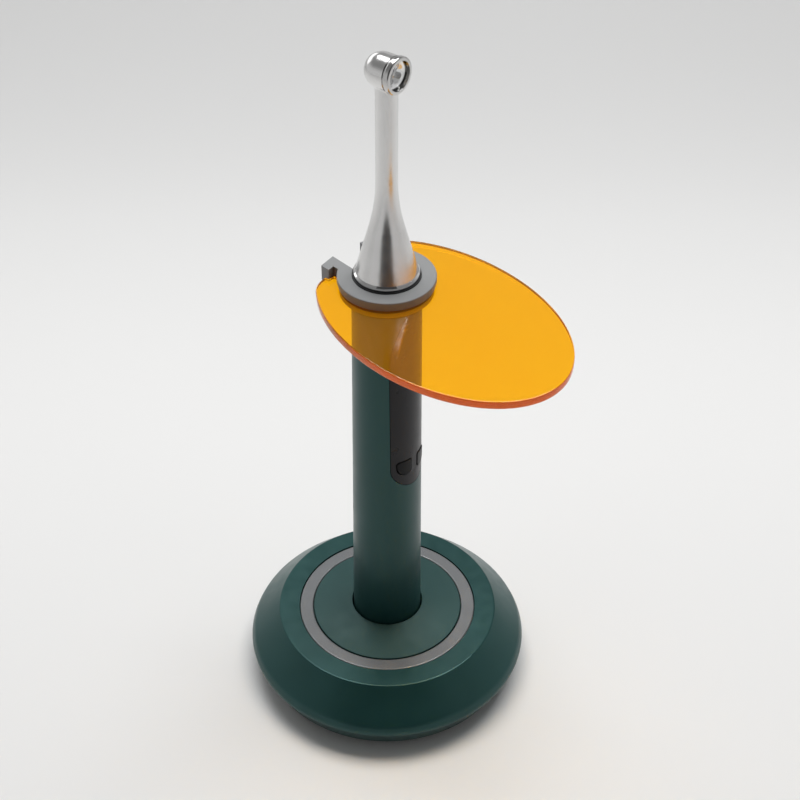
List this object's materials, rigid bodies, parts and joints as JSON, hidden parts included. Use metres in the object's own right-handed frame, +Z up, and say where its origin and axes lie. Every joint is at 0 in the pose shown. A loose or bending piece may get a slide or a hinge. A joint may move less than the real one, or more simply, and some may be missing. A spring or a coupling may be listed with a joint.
{
  "type": "dental curing light",
  "caption": "Pen-shaped dental curing light with a slender turning head, a clip-on orange filter and a round charging base that it stands in.",
  "frame": {"origin": "centre of the foot's underside, on the table", "axes": "+Z up along the handset, -Y is the front, the way the lens and the buttons face, +X to the right seen from behind the lens"},
  "size_m": [0.1024, 0.1224, 0.2507],
  "materials": {
    "green_shell": "satin anodised",
    "satin_silver": "satin turned",
    "polished_metal": "polished",
    "charcoal_panel": "satin",
    "button_black": "semi-gloss",
    "black_plastic": "matte",
    "black_rubber": "matte",
    "clip_grey": "matte",
    "filter_orange": "clear, glossy",
    "clear_lens": "clear",
    "display_glass": "glossy",
    "circuit_board": "satin",
    "steel": "brushed",
    "gold_contact": "polished",
    "cell_sleeve": "wrapped",
    "led_yellow": "satin"
  },
  "bodies": {
    "base": {"base_cover": "green_shell", "socket_cup": "green_shell", "trim_ring": "satin_silver", "base_plate": "black_plastic", "rubber_foot": "black_rubber", "ballast_ring": "steel", "charge_board": "circuit_board", "pin_housing": "black_plastic", "power_inlet": "steel", "base_screws": "steel"},
    "left_pin": {"charge_pin_left": "gold_contact"},
    "right_pin": {"charge_pin_right": "gold_contact"},
    "handset": {"handle_tube": "green_shell", "front_panel": "charcoal_panel", "display_module": "display_glass", "control_board": "circuit_board", "board_screws": "steel", "button_switches": "black_plastic", "inner_frame": "black_plastic", "battery_cell": "cell_sleeve", "battery_contact": "steel", "end_cap": "black_plastic", "end_seal": "black_rubber", "contact_pads": "gold_contact", "nose_collar": "black_plastic", "head_socket": "black_plastic"},
    "power_key": {"power_button": "button_black"},
    "mode_key": {"mode_button": "button_black"},
    "band": {"grip_band": "black_rubber"},
    "filter": {"clip_ring": "clip_grey", "shield_plate": "filter_orange"},
    "head": {"head_shell": "satin_silver", "head_bead": "polished_metal", "lens_bezel": "polished_metal", "lens": "clear_lens", "reflector": "polished_metal", "led_board": "circuit_board", "led_emitter": "led_yellow", "neck_lead": "black_rubber", "head_plug": "gold_contact"}
  },
  "joints": [
    {"name": "left_pin_press", "type": "slide", "parent": "base", "child": "left_pin", "axis": [0, 0, 1], "range_m": [-0.001, 0], "stiffness_N_per_m": 300, "springref_m": 0.001},
    {"name": "right_pin_press", "type": "slide", "parent": "base", "child": "right_pin", "axis": [0, 0, 1], "range_m": [-0.001, 0], "stiffness_N_per_m": 300, "springref_m": 0.001},
    {"name": "handset_lift", "type": "slide", "parent": "base", "child": "handset", "axis": [0, 0, 1], "range_m": [0, 0.06]},
    {"name": "power_press", "type": "slide", "parent": "handset", "child": "power_key", "axis": [0, 1, 0], "range_m": [0, 0.0004], "stiffness_N_per_m": 600, "springref_m": -0.0005},
    {"name": "mode_press", "type": "slide", "parent": "handset", "child": "mode_key", "axis": [0, 1, 0], "range_m": [0, 0.0004], "stiffness_N_per_m": 600, "springref_m": -0.0005},
    {"name": "head_turn", "type": "hinge", "parent": "handset", "child": "head", "pos_m": [0, 0, 0.1759], "axis": [0, 0, 1], "continuous": true},
    {"name": "filter_turn", "type": "hinge", "parent": "handset", "child": "band", "pos_m": [0, 0, 0.1703], "axis": [0, 0, 1], "continuous": true},
    {"name": "filter_lift", "type": "slide", "parent": "band", "child": "filter", "axis": [0, 0, 1], "range_m": [0, 0.09]}
  ]
}
